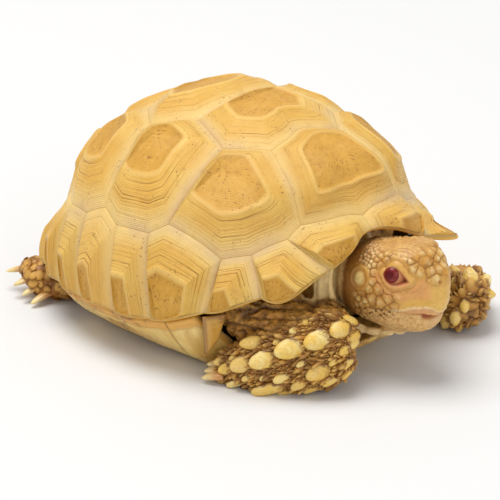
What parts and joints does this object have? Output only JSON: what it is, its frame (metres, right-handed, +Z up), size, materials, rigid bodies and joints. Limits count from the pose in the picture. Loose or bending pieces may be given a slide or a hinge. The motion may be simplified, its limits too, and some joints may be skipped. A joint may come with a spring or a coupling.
{
  "type": "sulcata tortoise, still model",
  "caption": "Life-size still model of a juvenile ivory sulcata tortoise at rest on its belly, legs folded, head out and turned to its left.",
  "frame": {"origin": "on the floor, under the middle of the belly, at the bottom face of the abdominal plates", "axes": "-Y toward the head, +X to the animal's left, +Z up"},
  "size_m": [0.0886, 0.1136, 0.0558],
  "materials": {
    "carapace_horn": "satin keratin",
    "plastron_horn": "satin keratin",
    "skin": "dry scaly skin",
    "head_skin": "dry scaly skin",
    "eye": "wet gloss"
  },
  "bodies": {
    "root": {"axillary_left": "plastron_horn", "axillary_right": "plastron_horn", "costal_1_left": "carapace_horn", "costal_1_right": "carapace_horn", "costal_2_left": "carapace_horn", "costal_2_right": "carapace_horn", "costal_3_left": "carapace_horn", "costal_3_right": "carapace_horn", "costal_4_left": "carapace_horn", "costal_4_right": "carapace_horn", "eye_left": "eye", "eye_right": "eye", "foreleg_left": "skin", "foreleg_right": "skin", "head": "head_skin", "hindleg_left": "skin", "hindleg_right": "skin", "marginal_01_left": "carapace_horn", "marginal_01_right": "carapace_horn", "marginal_02_left": "carapace_horn", "marginal_02_right": "carapace_horn", "marginal_03_left": "carapace_horn", "marginal_03_right": "carapace_horn", "marginal_04_left": "carapace_horn", "marginal_04_right": "carapace_horn", "marginal_05_left": "carapace_horn", "marginal_05_right": "carapace_horn", "marginal_06_left": "carapace_horn", "marginal_06_right": "carapace_horn", "marginal_07_left": "carapace_horn", "marginal_07_right": "carapace_horn", "marginal_08_left": "carapace_horn", "marginal_08_right": "carapace_horn", "marginal_09_left": "carapace_horn", "marginal_09_right": "carapace_horn", "marginal_10_left": "carapace_horn", "marginal_10_right": "carapace_horn", "marginal_11_left": "carapace_horn", "marginal_11_right": "carapace_horn", "neck": "skin", "plastron_abdominal": "plastron_horn", "plastron_anal": "plastron_horn", "plastron_femoral": "plastron_horn", "plastron_gular": "plastron_horn", "plastron_humeral": "plastron_horn", "plastron_pectoral": "plastron_horn", "supracaudal": "carapace_horn", "tail": "skin", "trunk": "skin", "vertebral_1": "carapace_horn", "vertebral_2": "carapace_horn", "vertebral_3": "carapace_horn", "vertebral_4": "carapace_horn", "vertebral_5": "carapace_horn"}
  },
  "joints": []
}
